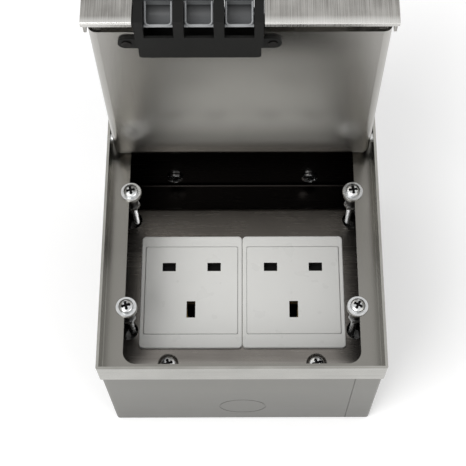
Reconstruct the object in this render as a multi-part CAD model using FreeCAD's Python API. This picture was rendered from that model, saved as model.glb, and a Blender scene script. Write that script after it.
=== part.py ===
import FreeCAD, Part
import math
import os

# Floor socket box: a square sheet-steel back box let into a screed floor, a
# levelling frame on four jacking screws, a hinged lid with a recessed pan, a
# lift handle and three cable flaps, and a tray with two unswitched British
# 13 A sockets.  Millimetres, +Z up, +Y to the hinge side.  The origin is the
# centre of the underside.  The lid is modelled shut and turned open at the end.

# ---------------------------------------------------------------- driving sizes
# trim frame
frame_side = 128.0          # outside of the square frame
frame_height = 16.0
frame_wall = 1.2
frame_corner_r = 0.8
ledge_thick = 1.5
ledge_side = 8.8            # width of the ledge along the two sides
ledge_end = 5.6             # width of the ledge at the front and the back
ledge_corner_r = 6.0
frame_lift = 1.5            # height the frame is jacked up above the box rim

# back box
overall_height = 88.0       # underside to the top of the frame
box_inset = 0.7             # box face behind the frame face
box_sheet = 1.2
box_corner_r = 1.5
box_bottom_r = 2.5
knockout_r = 11.25
knockout_z = 23.7
knockout_pitch = 50.0       # between the two knock-outs in each side wall
score_width = 0.4
score_depth = 0.15
seam_inset = 13.0           # folded seam inside the frame's right face
seam_width = 0.35
seam_depth = 0.4
floor_hole_pitch = 90.0
floor_hole_r = 2.5
earth_stud_inset = 15.1     # from the inside of the front wall
earth_stud_r = 2.0
earth_stud_length = 14.0

# levelling hardware
ear_inset = 10.8            # levelling screws from the frame's side faces
ear_front_inset = 33.85     # and from its front and back faces
ear_back_inset = 35.7
ear_r = 5.0
level_screw_r = 1.5
level_hole_r = 1.8
level_head_r = 3.4
level_head_height = 2.3
level_screw_length = 50.0
washer_r = 4.75
washer_thick = 0.8
sleeve_r = 2.5
sleeve_length = 11.0
level_nut_flats = 5.5
level_nut_height = 2.4
earth_nut_flats = 7.0
earth_nut_height = 3.2
earth_jam_nut_height = 2.6
lug_drop = 10.5             # underside of the levelling lugs below the tray floor
lug_sheet = 1.5
lug_width = 8.8
lug_reach = 14.5            # out from the side wall
lug_flange = 8.0
rivet_nut_flange_r = 4.2
rivet_nut_flange = 0.8
rivet_nut_r = 3.0
rivet_nut_length = 7.5

# socket tray
tray_sheet = 1.2
tray_drop = 47.5            # tray floor below the top of the frame
tray_bend_r = 1.5
tray_gap = 0.5              # tray to the side walls
well_width = 26.1           # cable well, back wall to tray edge
well_floor_z = 14.4
well_flange_gap = 1.5       # top of the well's back flange below the box rim
tray_notch_out = 2.0        # notches for the levelling screws, outwards of them
tray_notch_r = 4.7
dimple_r = 6.0
dimple_depth = 1.2
tray_screw_x = 35.6
tray_front_screw_inset = 15.1
tray_back_screw_z = 24.0
tray_screw_r = 2.0
tray_head_r = 3.6
tray_head_height = 2.4
tray_screw_length = 9.0
front_lug_reach = 20.6
front_lug_width = 14.0

# sockets
socket_pitch = 50.1
plate_width = 49.9
plate_depth = 58.4
plate_thick = 1.7
plate_corner_r = 2.0
plate_centre_y = -10.4
collar_width = 48.0
collar_depth = 55.6
collar_wall = 1.0
collar_height = 5.0
tray_window_gap = 0.2
module_size = 45.6
module_gap = 0.15
module_centre_y = -9.8
face_proud = 0.3
face_thick = 4.0
pin_pitch = 22.2            # live to neutral, and that row to earth
live_row_y = 2.1
live_slot = (6.6, 4.4)
earth_slot = (4.25, 8.4)
base_size = 43.4
base_depth = 23.0
base_wall = 1.5
contact_leaf = 0.8
contact_gap = 4.1
contact_width = 6.4
earth_contact_width = 7.5
terminal_height = 8.0
terminal_screw_r = 1.25
shutter_width = 34.0
shutter_depth = 6.0
shutter_thick = 2.0
shutter_travel = 5.0
shutter_spring_r = 0.95

# lid
lid_gap = 0.5               # all round, inside the frame
lid_rest_gap = 0.2          # lid underside above the ledge when shut
lid_sheet = 1.2
pan_raise = 3.8             # underside of the pan above the lid's lowest edge
pan_side = 1.3              # pan wall set in from the rim's edge
rim_width = 2.5
strip_depth = 24.5          # flush strip along the front
strip_lip = 3.0
seam_round = 0.25           # edges either side of the seam between strip and skirt
return_depth = 2.6
pan_front = 12.0            # front edge of the pan behind the lid's front face
pan_lip_height = 3.0
cove_r = 7.6                # inside radius of the pan's coved back
side_bend_r = 2.5
pivot_back = 12.0           # hinge axis in front of the frame's back face
pivot_drop = 3.5            # hinge axis below the top of the frame
lid_open_angle = 90.0
hinge_pin_r = 1.5
hinge_play = 0.05
hinge_head_r = 2.4
hinge_head = 1.0
hinge_washer_r = 2.2
hinge_washer_play = 0.1

# cable outlet in the lid
outlet_x = -16.3
outlet_gap = 0.3            # housing to the cut-out in the lid
outlet_depth = 14.6
bezel_thick = 1.5
flap_pitch = 16.0
notch_width = 11.9
notch_depth = 11.4
notch_corner_r = 1.8
flap_gap = 0.2
flap_wall = 1.2
flap_cheek = 1.0
flap_pin_v = 10.4           # flap pin behind the lid's front face
flap_pin_w = 11.3           # flap pin above the lid's lowest edge
flap_pin_r = 0.6
flap_front = 0.1            # flap's front face behind the lid's front face
flap_cove_r = 6.0           # cove under the door, solid round the pin
flap_bite = 0.2             # the shell's top edge runs up into the door
flap_turn_w = 6.2           # where the shell turns forwards
flap_turn_r = 1.4
flap_toe_v = 7.0
flap_toe_w = 2.9
flap_spring_r = 1.25
housing_width = 51.2
housing_back = 22.8
housing_wall = 1.2
housing_bottom = 0.6
housing_step = 18.5         # where the housing narrows to its flange
flange_back = 25.9
flange_inset = 0.8          # flange narrower than the housing, each side
flange_corner_r = 1.5
wing_reach = 7.5            # screw wings beyond the housing, each side
wing_front = 15.1
wing_back = 21.9
outlet_screw_reach = 4.0
outlet_screw_r = 1.0
outlet_screw_head_r = 2.0

# lift handle
handle_x = 32.5
handle_width = 18.6
handle_gap = 0.4
handle_depth = 18.2
handle_well_back = 19.4
handle_lip = 3.2
handle_pin_v = 17.0
handle_pin_w = 12.2
handle_pin_r = 0.8
handle_knuckle_r = 1.5
handle_pad_thick = 2.1
pad_front = 1.5
pad_back_gap = 0.9
grip_inset = 1.5            # finger recess in the pad
grip_length = 6.0
grip_depth = 0.9
grip_margin = 2.0
handle_well_depth = 4.5
handle_rest_angle = 10.0

play = 0.05                 # radial clearance of the small running pins
seat = 0.03                 # clearance of pieces that are pressed or clipped in

# --------------------------------------------------------------- derived levels
half = frame_side / 2
frame_bottom = overall_height - frame_height
ledge_top = frame_bottom + ledge_thick
box_top = frame_bottom - frame_lift
box_half = half - box_inset
box_inner = box_half - box_sheet
ear_x = half - ear_inset
ear_ys = (-(half - ear_front_inset), half - ear_back_inset)
seam_x = half - seam_inset
tray_top = overall_height - tray_drop
lug_z = tray_top - lug_drop
lug_inner_x = box_inner - lug_reach
earth_stud_y = -(box_inner - earth_stud_inset)
tray_front_screw_y = -(box_inner - tray_front_screw_inset)
front_lug_y = -(box_inner - front_lug_reach)
tray_edge_y = box_inner - well_width
well_flange_top = box_top - well_flange_gap
lid_half = half - frame_wall - lid_gap
lid_bottom = ledge_top + lid_rest_gap
lid_thick = overall_height - lid_bottom
strip_under = lid_thick - lid_sheet
bezel_under = lid_thick - bezel_thick
pan_half = lid_half - pan_side
pan_floor = pan_raise + lid_sheet
pivot_y = half - pivot_back
pivot_z = overall_height - pivot_drop
plate_top = tray_top + plate_thick
face_top = plate_top + face_proud
face_bottom = face_top - face_thick
base_bottom = face_bottom - base_depth
earth_row_y = live_row_y - pin_pitch
outlet_width = housing_width + 2 * outlet_gap
flange_width = housing_width - 2 * flange_inset
wing_width = housing_width + 2 * wing_reach
outlet_screw_x = housing_width / 2 + outlet_screw_reach


# ------------------------------------------------------------------ solid tools
def block(x0, x1, y0, y1, z0, z1):
    return Part.makeBox(x1 - x0, y1 - y0, z1 - z0, FreeCAD.Vector(x0, y0, z0))


def rod(x, y, z, r, length, axis=(0, 0, 1)):
    return Part.makeCylinder(r, length, FreeCAD.Vector(x, y, z), FreeCAD.Vector(*axis))


def tube(x, y, z, r, bore, length, axis=(0, 0, 1)):
    return rod(x, y, z, r, length, axis).cut(rod(x, y, z, bore, length, axis))


def corner_arc(before, at, after, r):
    """Tangent points and the middle of an arc of radius r at a corner."""
    a = (before - at).normalize()
    b = (after - at).normalize()
    half_angle = a.getAngle(b) / 2
    run = r / math.tan(half_angle)
    bisector = (a + b).normalize()
    middle = at + bisector * (r / math.sin(half_angle) - r)
    return at + a * run, middle, at + b * run


def outline(points, place):
    """Closed wire through (u, v) or (u, v, corner radius) points.

    place turns (u, v) into a point in space."""
    corners = [place(p[0], p[1]) for p in points]
    count = len(points)
    starts, ends, edges = [], [], []
    for i, p in enumerate(points):
        if len(p) > 2 and p[2] > 0:
            first, middle, last = corner_arc(corners[i - 1], corners[i],
                                             corners[(i + 1) % count], p[2])
            edges.append(Part.Arc(first, middle, last).toShape())
        else:
            first = last = corners[i]
        starts.append(first)
        ends.append(last)
    for i in range(count):
        a, b = ends[i], starts[(i + 1) % count]
        if a.distanceToPoint(b) > 1e-6:
            edges.append(Part.LineSegment(a, b).toShape())
    return Part.Wire(Part.__sortEdges__(edges))


def plate(points, z0, z1):
    """Flat plate: an (x, y) outline from z0 up to z1."""
    face = Part.Face(outline(points, lambda u, v: FreeCAD.Vector(u, v, z0)))
    return face.extrude(FreeCAD.Vector(0, 0, z1 - z0))


def bar_x(points, x0, x1):
    """Bar along X: a (y, z) profile from x0 to x1."""
    face = Part.Face(outline(points, lambda u, v: FreeCAD.Vector(x0, u, v)))
    return face.extrude(FreeCAD.Vector(x1 - x0, 0, 0))


def rounded_rect(x, y, width, depth, r):
    a, b = width / 2, depth / 2
    return [(x - a, y - b, r), (x + a, y - b, r), (x + a, y + b, r), (x - a, y + b, r)]


def turned(profile, x, y, z, axis=(0, 0, 1)):
    """Body of revolution: (radius, height) points, the first and last on the axis."""
    face = Part.Face(outline(profile, lambda u, v: FreeCAD.Vector(u, 0, v)))
    solid = face.revolve(FreeCAD.Vector(0, 0, 0), FreeCAD.Vector(0, 0, 1), 360)
    turn = FreeCAD.Rotation(FreeCAD.Vector(0, 0, 1), FreeCAD.Vector(*axis))
    solid.Placement = FreeCAD.Placement(FreeCAD.Vector(x, y, z), turn)
    return solid


def folded(path, sheet, r):
    """Closed (u, v) outline of folded sheet to the right of an open path."""
    near, far = [], []
    last = len(path) - 1
    for i, (u, v) in enumerate(path):
        point = FreeCAD.Vector(u, v, 0)
        sides = []
        if i > 0:
            sides.append((point - FreeCAD.Vector(*path[i - 1], 0)).normalize())
        if i < last:
            sides.append((FreeCAD.Vector(*path[i + 1], 0) - point).normalize())
        normals = [FreeCAD.Vector(d.y, -d.x, 0) for d in sides]
        if len(normals) == 1:
            offset = point + normals[0] * sheet
            near.append((u, v))
            far.append((offset.x, offset.y))
            continue
        shared = (normals[0] + normals[1]) * (1 / (1 + normals[0].dot(normals[1])))
        offset = point + shared * sheet
        left_turn = sides[0].cross(sides[1]).z > 0
        near.append((u, v, r if left_turn else r + sheet))
        far.append((offset.x, offset.y, r + sheet if left_turn else r))
    return near + far[::-1]


def pan_screw(x, y, z, r, length, head_r, head_height, axis=(0, 0, 1)):
    """Pan-head screw with a cross recess; z is under the head, axis points out of it."""
    crown = head_height * 0.45
    profile = [(0, -length), (r - 0.5, -length), (r, 0.6 - length), (r, 0),
               (head_r, 0), (head_r, head_height - crown),
               (head_r * 0.72, head_height - 0.12 * crown, head_r * 0.5), (0, head_height)]
    screw = turned(profile, 0, 0, 0)
    slot_long, slot_wide, slot_deep = head_r * 1.15, head_r * 0.26, head_height * 0.5
    for turn in (45, 135):
        slot = block(-slot_long / 2, slot_long / 2, -slot_wide / 2, slot_wide / 2,
                     head_height - slot_deep, head_height + 1)
        slot.rotate(FreeCAD.Vector(0, 0, 0), FreeCAD.Vector(0, 0, 1), turn)
        screw = screw.cut(slot)
    turn = FreeCAD.Rotation(FreeCAD.Vector(0, 0, 1), FreeCAD.Vector(*axis))
    screw.Placement = FreeCAD.Placement(FreeCAD.Vector(x, y, z), turn)
    return screw


def hex_nut(x, y, z, flats, height, bore):
    r = flats / math.sqrt(3)
    points = [(x + r * math.cos(math.radians(60 * i)), y + r * math.sin(math.radians(60 * i)))
              for i in range(6)]
    return plate(points, z, z + height).cut(rod(x, y, z, bore, height))


def corners_of(x, y):
    return [(sx * x, sy * y) for sx in (-1, 1) for sy in (-1, 1)]


def shut_to_open(shape, angle=lid_open_angle):
    """Turns a piece of the shut lid about the hinge axis."""
    turned_shape = shape.copy()
    turned_shape.rotate(FreeCAD.Vector(0, pivot_y, pivot_z), FreeCAD.Vector(1, 0, 0), -angle)
    return turned_shape


def lid_y(v):
    """Depth v behind the shut lid's front face, as Y."""
    return v - lid_half


def lid_z(w):
    """Height w above the shut lid's lowest edge, as Z."""
    return lid_bottom + w


def lid_block(x0, x1, v0, v1, w0, w1):
    return block(x0, x1, lid_y(v0), lid_y(v1), lid_z(w0), lid_z(w1))


def lid_bar(points, x0, x1):
    moved = [(lid_y(p[0]), lid_z(p[1])) + tuple(p[2:]) for p in points]
    return bar_x(moved, x0, x1)


def lid_plate(points, w0, w1):
    moved = [(p[0], lid_y(p[1])) + tuple(p[2:]) for p in points]
    return plate(moved, lid_z(w0), lid_z(w1))


# --------------------------------------------------------------------- back box
def ear_places():
    """The four levelling screws."""
    return [(sx * ear_x, y) for y in ear_ys for sx in (-1, 1)]


def levelling_lug(x, y):
    """Angle lug spot-welded inside a side wall, with a hole for its rivet nut."""
    side = math.copysign(1, x)
    a, b = sorted((side * lug_inner_x, side * box_inner))
    shelf = block(a, b, y - lug_width / 2, y + lug_width / 2, lug_z, lug_z + lug_sheet)
    c, d = sorted((side * (box_inner - lug_sheet), side * box_inner))
    flange = block(c, d, y - lug_width / 2, y + lug_width / 2,
                   lug_z - lug_flange, lug_z + lug_sheet)
    lug = shelf.fuse(flange)
    return lug.cut(rod(x, y, lug_z - 1, rivet_nut_r + seat, lug_sheet + 2))


def front_lug(x):
    """Angle lug inside the front wall that takes a tray screw."""
    top = tray_top - tray_sheet - dimple_depth
    shelf = block(x - front_lug_width / 2, x + front_lug_width / 2, -box_inner, front_lug_y,
                  top - lug_sheet, top)
    flange = block(x - front_lug_width / 2, x + front_lug_width / 2, -box_inner, -box_inner + lug_sheet,
                   top - lug_sheet - lug_flange, top)
    lug = shelf.fuse(flange)
    return lug.cut(rod(x, tray_front_screw_y, top - 5, tray_screw_r + seat, 10))


def knockout_score(x, y, axis):
    """Ring scored into the outside of a wall; axis points out of the wall."""
    ring = tube(0, 0, -score_depth, knockout_r, knockout_r - score_width, score_depth + 1)
    turn = FreeCAD.Rotation(FreeCAD.Vector(0, 0, 1), FreeCAD.Vector(*axis))
    ring.Placement = FreeCAD.Placement(FreeCAD.Vector(x, y, knockout_z), turn)
    return ring


def back_box():
    outer = block(-box_half, box_half, -box_half, box_half, 0, box_top)
    outer = outer.makeFillet(box_corner_r, upright_edges(outer))
    outer = outer.makeFillet(box_bottom_r, edges_at(outer, 0))
    inner = block(-box_inner, box_inner, -box_inner, box_inner, box_sheet, box_top + 1)
    inner = inner.makeFillet(box_bottom_r - box_sheet, edges_at(inner, box_sheet))
    box = outer.cut(inner)
    for x, y in ear_places():
        box = box.fuse(levelling_lug(x, y))
    for x in (-tray_screw_x, tray_screw_x):
        box = box.fuse(front_lug(x))
    cuts = [rod(x, y, -1, floor_hole_r, box_sheet + 2)
            for x, y in corners_of(floor_hole_pitch / 2, floor_hole_pitch / 2)]
    cuts.append(rod(0, earth_stud_y, -1, earth_stud_r + seat, box_sheet + 2))
    for x in (-tray_screw_x, tray_screw_x):
        cuts.append(rod(x, box_inner - 1, tray_back_screw_z, tray_screw_r + seat,
                        box_sheet + 2, (0, 1, 0)))
    cuts += [knockout_score(0, -box_half, (0, -1, 0)), knockout_score(0, box_half, (0, 1, 0))]
    for y in (-knockout_pitch / 2, knockout_pitch / 2):
        cuts += [knockout_score(-box_half, y, (-1, 0, 0)), knockout_score(box_half, y, (1, 0, 0))]
    cuts.append(block(seam_x, seam_x + seam_width, -box_half - 1, -box_half + seam_depth,
                      box_bottom_r, box_top + 1))
    return box.cut(cuts)


def upright_edges(shape):
    return [e for e in shape.Edges if e.BoundBox.ZLength > 1
            and e.BoundBox.XLength < 1e-6 and e.BoundBox.YLength < 1e-6]


def edges_at(shape, z):
    return [e for e in shape.Edges if e.BoundBox.ZLength < 1e-6
            and abs(e.BoundBox.ZMin - z) < 1e-6]


def earth_terminal():
    """Stud, washers and nut on the floor of the box."""
    stud = rod(0, earth_stud_y, 0.1, earth_stud_r, earth_stud_length)
    base = box_sheet
    bore = earth_stud_r + seat
    upper = base + washer_thick + earth_jam_nut_height
    washers = Part.makeCompound([tube(0, earth_stud_y, z, washer_r - 0.5, bore, washer_thick)
                                 for z in (base, upper)])
    nuts = Part.makeCompound([
        hex_nut(0, earth_stud_y, base + washer_thick, earth_nut_flats, earth_jam_nut_height, bore),
        hex_nut(0, earth_stud_y, upper + washer_thick, earth_nut_flats, earth_nut_height, bore)])
    return {"earth_stud": stud, "earth_washers": washers, "earth_nuts": nuts}


# ------------------------------------------------------------------ trim frame
def frame():
    outer = plate(rounded_rect(0, 0, frame_side, frame_side, frame_corner_r),
                  frame_bottom, overall_height)
    side = frame_side - 2 * frame_wall
    inner = plate(rounded_rect(0, 0, side, side, 0), ledge_top, overall_height + 1)
    opening_x = half - frame_wall - ledge_side
    opening_y = half - frame_wall - ledge_end
    opening = plate(rounded_rect(0, 0, 2 * opening_x, 2 * opening_y, ledge_corner_r),
                    frame_bottom - 1, ledge_top + 1)
    ring = outer.cut([inner, opening])
    for x, y in ear_places():
        ring = ring.fuse(rod(x, y, frame_bottom, ear_r, ledge_thick))
    ring = ring.removeSplitter()
    holes = [rod(x, y, frame_bottom - 1, level_hole_r, ledge_thick + 2)
             for x, y in ear_places()]
    for sx in (-1, 1):
        holes.append(rod(sx * (half + 1), pivot_y, pivot_z, hinge_pin_r + hinge_play,
                         frame_wall + 2, (-sx, 0, 0)))
    return ring.cut(holes)


def levelling_hardware():
    places = ear_places()
    under_head = ledge_top + washer_thick
    shelf_top = lug_z + lug_sheet
    running = level_screw_r + play
    screws = [pan_screw(x, y, under_head, level_screw_r, level_screw_length,
                        level_head_r, level_head_height) for x, y in places]
    washers = [tube(x, y, ledge_top, washer_r, running, washer_thick) for x, y in places]
    sleeves = [tube(x, y, frame_bottom - sleeve_length, sleeve_r, running, sleeve_length)
               for x, y in places]
    nuts = [hex_nut(x, y, frame_bottom - sleeve_length - level_nut_height, level_nut_flats,
                    level_nut_height, running) for x, y in places]
    rivets = [tube(x, y, shelf_top, rivet_nut_flange_r, running, rivet_nut_flange)
              .fuse(tube(x, y, shelf_top - rivet_nut_length, rivet_nut_r, running,
                         rivet_nut_length)).removeSplitter() for x, y in places]
    return {"levelling_screws": Part.makeCompound(screws),
            "levelling_washers": Part.makeCompound(washers),
            "levelling_sleeves": Part.makeCompound(sleeves),
            "levelling_nuts": Part.makeCompound(nuts),
            "rivet_nuts": Part.makeCompound(rivets)}


# ------------------------------------------------------------------ socket tray
def socket_centres():
    return (-socket_pitch / 2, socket_pitch / 2)


def socket_tray():
    wide = box_inner - tray_gap
    back = box_inner - play
    path = [(-wide, tray_top), (tray_edge_y, tray_top), (tray_edge_y, well_floor_z),
            (back - tray_sheet, well_floor_z), (back - tray_sheet, well_flange_top)]
    tray = bar_x(folded(path, tray_sheet, tray_bend_r), -wide, wide)
    under = tray_top - tray_sheet
    cuts = []
    for x in socket_centres():
        cuts.append(plate(rounded_rect(x, plate_centre_y, collar_width + tray_window_gap,
                                       collar_depth + 2 * tray_window_gap, 1.0),
                          under - 1, tray_top + 1))
    for ear, y in ear_places():
        x = math.copysign(ear_x + tray_notch_out, ear)
        a, b = sorted((x, math.copysign(wide + 1, x)))
        cuts.append(rod(x, y, under - 1, tray_notch_r, tray_sheet + 2))
        cuts.append(block(a, b, y - tray_notch_r, y + tray_notch_r, under - 1, tray_top + 1))
    tray = tray.cut(cuts)
    for x in (-tray_screw_x, tray_screw_x):
        dish = Part.makeCone(dimple_r - dimple_depth, dimple_r, dimple_depth + tray_sheet,
                             FreeCAD.Vector(x, tray_front_screw_y, under - dimple_depth))
        bowl = Part.makeCone(dimple_r - dimple_depth - 1, dimple_r - 1, dimple_depth,
                             FreeCAD.Vector(x, tray_front_screw_y, tray_top - dimple_depth))
        tray = tray.fuse(dish).cut(bowl)
    holes = []
    for x in (-tray_screw_x, tray_screw_x):
        holes.append(rod(x, tray_front_screw_y, under - 3, tray_screw_r + seat, 8))
        holes.append(rod(x, back - tray_sheet - 1, tray_back_screw_z, tray_screw_r + seat,
                         tray_sheet + 2, (0, 1, 0)))
    return tray.cut(holes)


def tray_fixings():
    xs = (-tray_screw_x, tray_screw_x)
    front = [pan_screw(x, tray_front_screw_y, tray_top - dimple_depth, tray_screw_r,
                       tray_screw_length, tray_head_r, tray_head_height) for x in xs]
    back = [pan_screw(x, box_inner - play - tray_sheet, tray_back_screw_z, tray_screw_r,
                      box_half - box_inner + tray_sheet, tray_head_r, tray_head_height,
                      (0, -1, 0)) for x in xs]
    return {"tray_front_screws": Part.makeCompound(front),
            "tray_back_screws": Part.makeCompound(back)}


# ---------------------------------------------------------------------- sockets
def socket_plate(x):
    """White frame that drops into the tray and carries one socket module."""
    top = plate(rounded_rect(x, plate_centre_y, plate_width, plate_depth, plate_corner_r),
                tray_top, plate_top)
    top = top.makeFillet(0.6, edges_at(top, plate_top))
    collar = plate(rounded_rect(x, plate_centre_y, collar_width - 2 * seat, collar_depth, 1.0),
                   tray_top - collar_height, tray_top)
    hollow = plate(rounded_rect(x, plate_centre_y, collar_width - 2 * collar_wall,
                                collar_depth - 2 * collar_wall, 0),
                   tray_top - collar_height - 1, tray_top)
    window = plate(rounded_rect(x, module_centre_y, module_size + 2 * module_gap,
                                module_size + 2 * module_gap, 0.8),
                   tray_top - 1, plate_top + 1)
    return top.fuse(collar.cut(hollow)).cut(window).removeSplitter()


def socket_face(x):
    face = plate(rounded_rect(x, module_centre_y, module_size, module_size, 0.8),
                 face_bottom, face_top)
    face = face.makeFillet(0.4, edges_at(face, face_top))
    cuts = []
    for side in (-1, 1):
        cuts.append(plate(rounded_rect(x + side * pin_pitch / 2, live_row_y, *live_slot, 0),
                          face_bottom - 1, face_top + 1))
    cuts.append(plate(rounded_rect(x, earth_row_y, *earth_slot, 0),
                      face_bottom - 1, face_top + 1))
    return face.cut(cuts)


def terminal_places(x):
    """Centre of each terminal: live, neutral and earth."""
    inside = base_size / 2 - base_wall
    back = (live_row_y + contact_gap / 2 + contact_leaf + module_centre_y + inside) / 2
    front = (earth_row_y - earth_contact_width / 2 + module_centre_y - inside) / 2
    return [(x - pin_pitch / 2, back), (x + pin_pitch / 2, back), (x, front)]


def socket_base(x):
    """Moulded cup under the face with shutter rails and terminal screw holes."""
    floor = base_bottom + base_wall
    cup = plate(rounded_rect(x, module_centre_y, base_size, base_size, 1.5),
                base_bottom, face_bottom)
    hollow = base_size - 2 * base_wall
    cup = cup.cut(plate(rounded_rect(x, module_centre_y, hollow, hollow, 0),
                        floor, face_bottom + 1))
    rail_top = face_bottom - shutter_thick - 0.3
    for side in (-1, 1):
        a, b = sorted((x + side * (shutter_width / 2 - 1.7), x + side * hollow / 2))
        cup = cup.fuse(block(a, b, module_centre_y - hollow / 2, module_centre_y + hollow / 2,
                             floor, rail_top))
    holes = [rod(cx, cy, base_bottom - 1, 2.3, base_wall + 2) for cx, cy in terminal_places(x)]
    return cup.cut(holes)


def contact(x, y, across_x, width, terminal, terminal_size):
    """Sprung brass fork with its screw terminal block."""
    floor = base_bottom + base_wall
    top = face_bottom - shutter_thick - 1.0
    leaf, gap = contact_leaf, contact_gap / 2
    fork = None
    for side in (-1, 1):
        a, b = sorted((side * gap, side * (gap + leaf)))
        if across_x:
            blade = block(x + a, x + b, y - width / 2, y + width / 2, floor, top)
        else:
            blade = block(x - width / 2, x + width / 2, y + a, y + b, floor, top)
        fork = blade if fork is None else fork.fuse(blade)
    reach = gap + leaf
    if across_x:
        fork = fork.fuse(block(x - reach, x + reach, y - width / 2, y + width / 2,
                               floor, floor + leaf))
    else:
        fork = fork.fuse(block(x - width / 2, x + width / 2, y - reach, y + reach,
                               floor, floor + leaf))
    tx, ty = terminal
    wide, deep = terminal_size
    lump = block(tx - wide / 2, tx + wide / 2, ty - deep / 2, ty + deep / 2,
                 floor, floor + terminal_height)
    wire_hole = rod(tx - wide, ty, floor + terminal_height * 0.7, 1.4, 2 * wide, (1, 0, 0))
    lump = lump.cut([rod(tx, ty, floor - 1, terminal_screw_r + seat, terminal_height),
                     wire_hole])
    return fork.fuse(lump).removeSplitter()


def contacts(x):
    live, neutral, earth = terminal_places(x)
    inside = base_size / 2 - base_wall
    row_edge = live_row_y + contact_gap / 2 + contact_leaf
    deep_back = 2 * (live[1] - row_edge)
    deep_front = 2 * ((earth_row_y - earth_contact_width / 2) - earth[1])
    return {
        "live_contact": contact(x - pin_pitch / 2, live_row_y, False, contact_width, live,
                                (contact_width, deep_back)),
        "neutral_contact": contact(x + pin_pitch / 2, live_row_y, False, contact_width, neutral,
                                   (contact_width, deep_back)),
        "earth_contact": contact(x, earth_row_y, True, earth_contact_width, earth,
                                 (2 * inside / 6, deep_front)),
    }


def terminal_screws(x):
    under = base_bottom + base_wall
    screws = [turned([(0, 0), (1.9, 0), (1.9, base_wall - 0.1), (terminal_screw_r, base_wall - 0.1),
                      (terminal_screw_r, 5.5), (0, 5.5)], cx, cy, under - base_wall)
              for cx, cy in terminal_places(x)]
    return Part.makeCompound(screws)


def shutter(x):
    """Sliding shutter that blanks the live and neutral slots, with its earth-pin tongue."""
    top = face_bottom - 0.2
    y0 = live_row_y - shutter_depth / 2 + 0.1
    slab = block(x - shutter_width / 2, x + shutter_width / 2, y0, y0 + shutter_depth,
                 top - shutter_thick + 0.1, top)
    tongue_end = earth_row_y + earth_slot[1] / 2 + 0.2
    tongue = bar_x([(tongue_end + 1.2, top), (y0 + 1, top), (y0 + 1, top - shutter_thick + 0.1),
                    (tongue_end, top - shutter_thick + 0.1), (tongue_end, top - 1.2)],
                   x - 1.9, x + 1.9)
    return slab.fuse(tongue).removeSplitter()


def coil(x, y, z, r, bore, length, turns, axis):
    """Close-wound spring drawn as a beaded sleeve."""
    pitch = length / turns
    profile = [(bore, 0)]
    for i in range(turns):
        profile += [(r - 0.25, i * pitch), (r, (i + 0.5) * pitch)]
    profile += [(r - 0.25, length), (bore, length)]
    return turned(profile, x, y, z, axis)


def shutter_spring(x):
    top = face_bottom - 0.2
    start = live_row_y + shutter_depth / 2 + 0.1
    end = module_centre_y + base_size / 2 - base_wall
    return coil(x, start, top - shutter_thick / 2 + 0.05, shutter_spring_r, 0.5,
                end - start, 5, (0, 1, 0))


# -------------------------------------------------------------------------- lid
def outlet_cut(w0, w1, back):
    gap = 0.1
    a = outlet_width / 2 + gap
    return lid_block(outlet_x - a, outlet_x + a, -1, back + gap, w0, w1)


def handle_cut(w0, w1):
    a = handle_width / 2 + handle_gap
    return lid_block(handle_x - a, handle_x + a, -1, handle_well_back, w0, w1)


def pan_form(x, front, back, low, cove, bend):
    """Solid with the pan's section: flat floor, coved back, bent side edges."""
    top = strip_under
    section = [(front, top), (front, low), (back, low, cove), (back, top)]
    form = lid_bar(section, -x, x)
    chain = [e for e in form.Edges if abs(abs(e.CenterOfMass.x) - x) < 1e-6
             and e.BoundBox.ZMin < lid_z(low) + cove - 1e-3
             and not (e.BoundBox.YLength < 1e-6 and abs(e.CenterOfMass.y - lid_y(front)) < 1e-6)]
    return form.makeFillet(bend, chain)


def lid_pan():
    """Pressed pan that takes the floor covering, hung between the hinge pins."""
    full = 2 * lid_half
    back = full - rim_width + lid_sheet
    outer = pan_form(pan_half, pan_front, back, pan_raise, cove_r + lid_sheet,
                     side_bend_r + lid_sheet)
    inner = pan_form(pan_half - lid_sheet, pan_front - 1, back - lid_sheet, pan_floor,
                     cove_r, side_bend_r)
    inner = inner.fuse(lid_block(-pan_half + lid_sheet, pan_half - lid_sheet, pan_front - 1,
                                 back - lid_sheet, strip_under, lid_thick + 1))
    rim = lid_block(-lid_half, lid_half, strip_depth, full, strip_under, lid_thick)
    rim = round_back_edge(rim)
    pan = outer.fuse(rim).cut(inner)
    lip = lid_block(-pan_half + 6, pan_half - 6, pan_front, pan_front + lid_sheet,
                    pan_floor, pan_floor + pan_lip_height - lid_sheet)
    pan = pan.fuse(lip).removeSplitter()
    pins = [rod(sx * (lid_half + 1), pivot_y, pivot_z, hinge_pin_r + seat, 10, (-sx, 0, 0))
            for sx in (-1, 1)]
    wing_v = (wing_front + wing_back) / 2
    screws = [rod(outlet_x + sx * outlet_screw_x, lid_y(wing_v), lid_bottom,
                  outlet_screw_r + seat, pan_floor + 1) for sx in (-1, 1)]
    return pan.cut([outlet_cut(-1, strip_under - 0.5, housing_back)] + pins + screws)


def round_back_edge(rim):
    """The top back edge is rounded so that it clears the frame as the lid turns."""
    full = 2 * lid_half
    edge = [e for e in rim.Edges if e.BoundBox.XLength > lid_half
            and abs(e.BoundBox.YMax - lid_y(full)) < 1e-6
            and abs(e.BoundBox.ZMin - lid_z(lid_thick)) < 1e-6]
    return rim.makeFillet(1.0, edge)


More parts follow.
